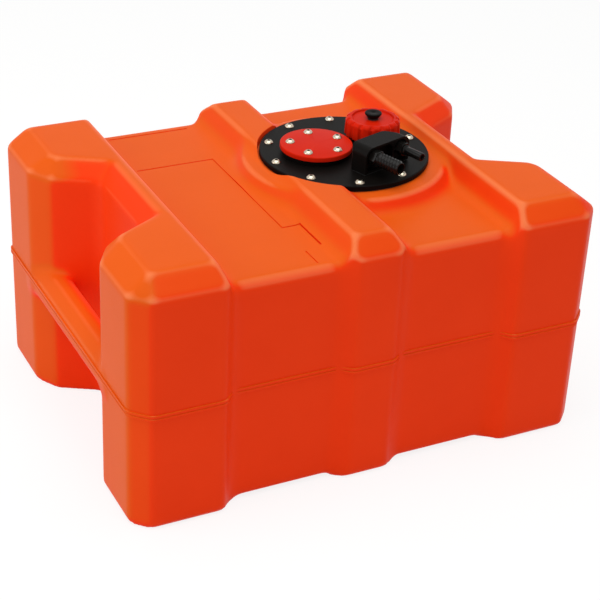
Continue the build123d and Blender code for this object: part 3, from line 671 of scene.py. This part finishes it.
# Tumbled stainless: bright and slightly warm, with a soft haze over the polish.
tumbled_stainless, tree = material("tumbled_stainless_steel")
where = put(tree, "ShaderNodeTexCoord").outputs["Object"]
haze = put(tree, "ShaderNodeTexNoise", {"Vector": where, "Scale": 1 / (1.2 * MM), "Detail": 4.0})
gloss = put(tree, "ShaderNodeMapRange", {"Value": haze.outputs[0], "To Min": 0.18, "To Max": 0.34})
metal = put(tree, "ShaderNodeBsdfPrincipled", {
    "Base Color": linear("#BDB29F"), "Metallic": 1.0, "Roughness": gloss.outputs[0]})
put(tree, "ShaderNodeOutputMaterial", {"Surface": metal.outputs[0]})

# Each socket is painted dark as painted shade in its hollow, faintly speckled.
socket_painted_shade, tree = material("painted_socket_shade")
where = put(tree, "ShaderNodeTexCoord").outputs["Object"]
speckle = put(tree, "ShaderNodeTexNoise", {"Vector": where, "Scale": 1 / (0.6 * MM), "Detail": 2.0})
tint = put(tree, "ShaderNodeMix", {0: speckle.outputs[0], 6: linear("#1C1712"), 7: linear("#2E2720")},
           data_type="RGBA")
socket_shade_shader = put(tree, "ShaderNodeBsdfPrincipled", {"Base Color": tint.outputs[2], "Roughness": 0.5,
                                              "Specular IOR Level": 0.2})
put(tree, "ShaderNodeOutputMaterial", {"Surface": socket_shade_shader.outputs[0]})

circle_tree = screw_circle()
plate_set = ("plate_screw_set", "plate_screws", 16, screw_count, screw_ring, (*plate_at, plate_top),
             screw_turn, 3)
cover_set = ("cover_screw_set", "sender_screws", 13, port_count, port_ring, (*port_at, cover_top),
             port_turn, 8)
for name, node, length, count, ring, middle, turn, seed in (plate_set, cover_set):
    screws = button_screw(length)
    screws.name = name
    smooth(screws, 40)
    setting = screws.modifiers.new("circle", "NODES")
    setting.node_group = circle_tree
    wanted = {"Count": count, "Radius": ring * MM, "Middle": tuple(part * MM for part in middle),
              "Turn": math.radians(turn), "Seed": seed, "Finish": tumbled_stainless,
              "Sockets": socket_painted_shade}
    for socket in circle_tree.interface.items_tree:
        if socket.name in wanted:
            setting[socket.identifier] = wanted[socket.name]
    settle(screws)
    finish(screws, tumbled_stainless, "tank", "stainless", node)
repaint(tumbled_stainless, "manifold_screws", "vent_retainer")

# ---- gauge port cover -------------------------------------------------------------------
# A red disc blanks the gauge port: injection moulded, eased round its top edge, with five
# clear holes for its screws.
cover_r, cover_low, hole_r = 37.6, 268, 2.7
cover_disc = turned("cover_disc", eased([
    (0, cover_low, 0), (cover_r - 0.3, cover_low, 0), (cover_r, cover_low + 0.3, 0),
    (cover_r, cover_top, 1.1), (0, cover_top, 0)], 5), port_at, 160)
hole_outline = [(0, cover_low - 1), (hole_r, cover_low - 1), (hole_r, cover_top + 1), (0, cover_top + 1)]
holes = [turned("hole", hole_outline, middle, 32)
         for middle in spaced_round(port_at, port_ring, port_count, port_turn)]
carve(cover_disc, *holes)
smooth(cover_disc)

# Red moulded plastic: solid pigment, a satin gloss, and the faint unevenness of a cooled skin.
red_moulding, tree = material("red_injection_moulded_plastic")
where = put(tree, "ShaderNodeTexCoord").outputs["Object"]
depth = put(tree, "ShaderNodeTexNoise", {"Vector": where, "Scale": 1 / (25 * MM), "Detail": 2.0})
grain = put(tree, "ShaderNodeTexNoise", {"Vector": where, "Scale": 1 / (0.8 * MM), "Detail": 2.0})
tint = put(tree, "ShaderNodeMix", {0: depth.outputs[0], 6: linear("#C91C07"), 7: linear("#D2250B")},
           data_type="RGBA")
gloss = put(tree, "ShaderNodeMapRange", {"Value": grain.outputs[0], "To Min": 0.26, "To Max": 0.38})
fine = put(tree, "ShaderNodeBump", {"Height": grain.outputs[0], "Distance": 0.02 * MM, "Strength": 0.5})
red = put(tree, "ShaderNodeBsdfPrincipled", {
    "Base Color": tint.outputs[2], "Roughness": gloss.outputs[0], "Normal": fine.outputs[0], "IOR": 1.5,
    "Specular IOR Level": 0.03})
put(tree, "ShaderNodeOutputMaterial", {"Surface": red.outputs[0]})
finish(cover_disc, red_moulding, "tank", "red_plastic", "sender_cover")

# ---- filler cap -------------------------------------------------------------------------
# A red moulded screw cap: fifteen soft flutes run in over its rounded shoulder, its top is
# dished, and a counterbore takes the vent's washer. Its thread is drawn as two rings.
neck_at, cap_low, cap_top, cap_r = (104, 29), 268, 286, 29.4
shoulder_r, shoulder_low, shoulder_round, shoulder_steps = 28.7, 282, 4, 12
flute_half, flute_root, flute_rise, flute_count, flute_turn = 3.6, 27.4, 0.9, 15, -1.0
cap_roof, cap_bore, stem_hole = 282.2, 26.6, 3.06
dish_z, dish_r, seal_r, seal_deep, groove_deep = 284.4, 21.6, 5.6, 0.7, 0.3
ridge_proud, ridges = 0.8, (275.2, 271.2)


def fluted(r, z, turn):
    """Radius of the cap's outside, cut in by soft flutes; its dish and bore stay round."""
    if r < dish_r + 0.8 or (z <= cap_roof and r < cap_bore + 0.2):
        return r
    pitch = 2 * math.pi / flute_count
    away = (turn - math.radians(flute_turn) + pitch / 2) % pitch - pitch / 2
    deep = max(0, r - flute_root + flute_rise * max(0, z - shoulder_low))
    return r - deep * (1 + math.cos(math.pi * min(1, abs(away) * cap_r / flute_half))) / 2


outside = eased([(cap_bore + 0.4, cap_low, 0), (cap_r - 0.5, cap_low, 0), (cap_r, cap_low + 0.5, 0),
                 (shoulder_r, shoulder_low - 1, 0)], 6)
for i in range(shoulder_steps + 1):
    swing = math.pi / 2 * i / shoulder_steps
    outside.append((shoulder_r - shoulder_round * (1 - math.cos(swing)),
                    shoulder_low + shoulder_round * math.sin(swing)))
outside += eased([(shoulder_r - shoulder_round - 0.1, cap_top, 0), (dish_r + 0.7, cap_top, 0.3),
                  (dish_r + 0.3, dish_z - groove_deep, 0.2), (dish_r - 0.6, dish_z - groove_deep, 0.2),
                  (dish_r - 1.1, dish_z, 0.2), (seal_r + 0.3, dish_z, 0)], 4)
seat_outline = [(seal_r, dish_z - 0.3), (seal_r, dish_z - seal_deep), (stem_hole, dish_z - seal_deep),
                (stem_hole, cap_roof)]
bore = [(cap_bore, cap_roof)]
for ridge in ridges:
    bore += [(cap_bore, ridge + 2.2), (cap_bore - ridge_proud, ridge + 1.4),
             (cap_bore - ridge_proud, ridge + 0.8), (cap_bore, ridge)]
filler_cap = turned("filler_cap_moulding", outside + seat_outline + bore, neck_at, 600, fluted)
smooth(filler_cap)
finish(filler_cap, red_moulding, "cap", "red_plastic", "filler_cap")

# ---- vent knob --------------------------------------------------------------------------
# A black nylon knob on a 6 mm stem, which a clip in its groove holds under the cap's roof and a
# rubber washer seals on top. It tapers to its foot so that fingers can pull up under it.
stem_r, stem_end, clip_low, clip_high, clip_r = 3.0, 277.6, 278.5, 279.4, 2.4
knob_low, knob_foot, knob_r, knob_rim, knob_top = 285.6, 5.5, 8.9, 290.0, 291.8
washer_hole, washer_r, washer_low, washer_high = 3.4, 5.3, 283.75, 285.25
knob_outline = eased([
    (0, stem_end, 0), (stem_r - 0.4, stem_end, 0), (stem_r, stem_end + 0.4, 0), (stem_r, clip_low, 0),
    (clip_r, clip_low, 0), (clip_r, clip_high, 0), (stem_r, clip_high, 0), (stem_r, knob_low, 0),
    (knob_foot, knob_low, 0.2), (knob_r, knob_rim, 0.5), (knob_r, knob_top, 0.9),
    (2.4, knob_top - 0.2, 0), (1.6, knob_top - 0.6, 0), (0, knob_top - 0.6, 0)], 4)
vent_knob = turned("vent_knob_moulding", knob_outline, neck_at, 96)
smooth(vent_knob)
finish(vent_knob, filled_nylon, "vent", "black_plastic", "vent_knob")

washer_outline = [
    (washer_hole, washer_low), (washer_r - 0.1, washer_low), (washer_r, washer_low + 0.1),
    (washer_r, washer_high - 0.1), (washer_r - 0.1, washer_high), (washer_hole, washer_high)]
vent_washer = turned("vent_washer_ring", washer_outline, neck_at, 64)
smooth(vent_washer)
finish(vent_washer, cut_rubber, "vent_washer", "rubber", "vent_seal")

# ---- hose fittings block ----------------------------------------------------------------
# Black nylon block screwed down from under the plate, which turns the two hose passages
# towards the near long side. Every moulded edge on it is eased.
block_ease, crisp_edge = 0.8, 32


def eased_copy(node, name, width):
    """A CAD piece again with its triangles joined and its crisp edges eased."""
    shape = bmesh.new()
    shape.from_mesh(nodes[node].data)
    bmesh.ops.remove_doubles(shape, verts=shape.verts, dist=1e-6)
    bmesh.ops.dissolve_limit(shape, angle_limit=math.radians(1), verts=shape.verts, edges=shape.edges)
    mesh = bpy.data.meshes.new(name)
    shape.to_mesh(mesh)
    shape.free()
    piece = bpy.data.objects.new(name, mesh)
    bpy.context.scene.collection.objects.link(piece)
    smooth(piece)
    edge = piece.modifiers.new("eased", "BEVEL")
    edge.width, edge.segments, edge.limit_method = width * MM, 3, "ANGLE"
    edge.angle_limit, edge.harden_normals = math.radians(crisp_edge), True
    settle(piece)
    return piece


fittings_block = eased_copy("manifold_block", "fittings_block", block_ease)
finish(fittings_block, filled_nylon, "tank", "black_plastic", "manifold_block")

# ---- hose tails -------------------------------------------------------------------------
# Nylon tails screwed into the block on sealing rings: a large one with seven barbs for the
# fuel hose and a small plain one for the breather. Each has a hexagon for a spanner.

# Unfilled nylon straight from a polished mould: black, smooth and bright along its rounds.
polished_nylon, tree = material("black_polished_nylon")
where = put(tree, "ShaderNodeTexCoord").outputs["Object"]
cooled = put(tree, "ShaderNodeTexNoise", {"Vector": where, "Scale": 1 / (4 * MM), "Detail": 2.0})
tint = put(tree, "ShaderNodeMix", {0: cooled.outputs[0], 6: linear("#0E0D0C"), 7: linear("#161412")},
           data_type="RGBA")
gloss = put(tree, "ShaderNodeMapRange", {"Value": cooled.outputs[0], "To Min": 0.14, "To Max": 0.24})
moulded = put(tree, "ShaderNodeBsdfPrincipled", {
    "Base Color": tint.outputs[2], "Roughness": gloss.outputs[0], "IOR": 1.53,
    "Specular IOR Level": 0.12})
put(tree, "ShaderNodeOutputMaterial", {"Surface": moulded.outputs[0]})

block_at, block_turn, outlet_z = (64.86, -48.93), math.radians(18), 279.5
tail_sunk, supply_u, breather_u, hex_high = 1, 0, 37.5, 7.5
along = Vector((math.cos(block_turn), math.sin(block_turn), 0))
front = Vector((math.sin(block_turn), -math.cos(block_turn), 0))


def tail_place(u, back):
    """Where a tail's axis leaves the block: x along the block, y up, z out of its front."""
    place = Vector((*block_at, outlet_z)) + along * u - front * back
    turn = Matrix((along, front.cross(along), front)).transposed().to_4x4()
    return Matrix.Translation(place * MM) @ turn


def hose_tail(name, body, hex_r, bore_r, deep, tip, place):
    """A tail turned to its outline, with a chamfered hexagon and a bore through it."""
    tail = turned(name, body, steps=96)
    corner_r = hex_r / math.cos(math.pi / 6)
    flats = turned("flats", [(0, 0), (corner_r, 0), (corner_r, hex_high), (0, hex_high)], steps=6)
    crown = turned("crown", [
        (0, -1), (hex_r + 0.1, -1), (hex_r + 1.4, 0.9), (hex_r + 1.4, hex_high - 0.9),
        (hex_r + 0.1, hex_high), (0, hex_high)], steps=96)
    carve(flats, crown, how="INTERSECT")
    carve(tail, flats, how="UNION")
    bore = turned("bore", [(0, -deep - 2), (bore_r, -deep - 2), (bore_r, tip - 1),
                           (bore_r + 0.8, tip + 1), (0, tip + 1)], steps=64)
    carve(tail, bore)
    smooth(tail, 28)
    tail.data.transform(place)
    return tail


barb_count, barb_pitch, barb_r, barb_root, barb_start = 7, 3.75, 7.3, 6.2, 9.0
supply_tip = barb_start + barb_count * barb_pitch + 1.05
barbs = []
for i in range(barb_count):
    z = barb_start + i * barb_pitch
    barbs += [(barb_root, z), (barb_r - 0.15, z + 0.3), (barb_r, z + 0.55), (barb_r, z + 1.2),
              (barb_r - 0.2, z + 1.5), (barb_root, z + barb_pitch - 0.2)]
supply_body = [(0, -8), (6.1, -8), (6.5, -7.5), (6.5, 6.5), (6.8, 6.5), (7.0, 6.7), (7.0, 8.7),
               (6.8, 8.9), *barbs, (barb_root, supply_tip - 0.5), (barb_root - 0.5, supply_tip),
               (0, supply_tip)]
supply_tail = hose_tail("supply_tail", supply_body, 7.5, 4.8, 8, supply_tip,
                        tail_place(supply_u, tail_sunk))
finish(supply_tail, polished_nylon, "tank", "black_plastic", "supply_hose_tail")

breather_tip, tube_r = 31.0, 4.35
breather_body = [(0, -7), (3.9, -7), (4.2, -6.7), (4.2, 6.5), (5.4, 6.5), (5.4, 9.2), (5.2, 9.4),
                 (tube_r, 9.9), (tube_r, breather_tip - 0.9), (tube_r - 0.2, breather_tip - 0.3),
                 (tube_r - 0.6, breather_tip), (0, breather_tip)]
breather_tail = hose_tail("breather_tail", breather_body, 6.5, 2.4, 7, breather_tip,
                          tail_place(breather_u, tail_sunk))
finish(breather_tail, polished_nylon, "tank", "black_plastic", "breather_hose_tail")

# ---- pickup -----------------------------------------------------------------------------
# A natural acetal tube hangs from the block to the tank's floor, with a strainer cage on its
# end and a sleeve of fine stainless gauze in the cage.

# Natural acetal is a milky white that lets a little light into its skin.
natural_acetal, tree = material("natural_acetal")
where = put(tree, "ShaderNodeTexCoord").outputs["Object"]
milk = put(tree, "ShaderNodeTexNoise", {"Vector": where, "Scale": 1 / (12 * MM), "Detail": 2.0})
tint = put(tree, "ShaderNodeMix", {0: milk.outputs[0], 6: linear("#DEDCD2"), 7: linear("#EAE8E0")},
           data_type="RGBA")
acetal = put(tree, "ShaderNodeBsdfPrincipled", {
    "Base Color": tint.outputs[2], "Roughness": 0.34, "IOR": 1.48})
put(tree, "ShaderNodeOutputMaterial", {"Surface": acetal.outputs[0]})
repaint(natural_acetal, "pickup_tube", "pickup_strainer")

# Woven wire, drawn at twice its real 0.4 mm pitch so that it shows: its tint is a painted highlight on
# the wire crowns over painted shade in the gaps.
woven_gauze, tree = material("woven_stainless_gauze")
where = put(tree, "ShaderNodeTexCoord").outputs["Object"]
weft = put(tree, "ShaderNodeTexWave", {"Vector": where, "Scale": 1 / (2.5 * MM)}, bands_direction="Z")
warp = put(tree, "ShaderNodeTexWave", {"Vector": where, "Scale": 1 / (2.5 * MM)}, bands_direction="X")
weave = put(tree, "ShaderNodeMath", {0: weft.outputs[1], 1: warp.outputs[1]}, operation="MULTIPLY")
tint = put(tree, "ShaderNodeMix", {0: weave.outputs[0], 6: linear("#4A4A48"), 7: linear("#C8C6C0")},
           data_type="RGBA")
knit = put(tree, "ShaderNodeBump", {"Height": weave.outputs[0], "Distance": 0.1 * MM, "Strength": 0.8})
wire = put(tree, "ShaderNodeBsdfPrincipled", {
    "Base Color": tint.outputs[2], "Metallic": 1.0, "Roughness": 0.35, "Normal": knit.outputs[0]})
put(tree, "ShaderNodeOutputMaterial", {"Surface": wire.outputs[0]})
repaint(woven_gauze, "strainer_gauze")
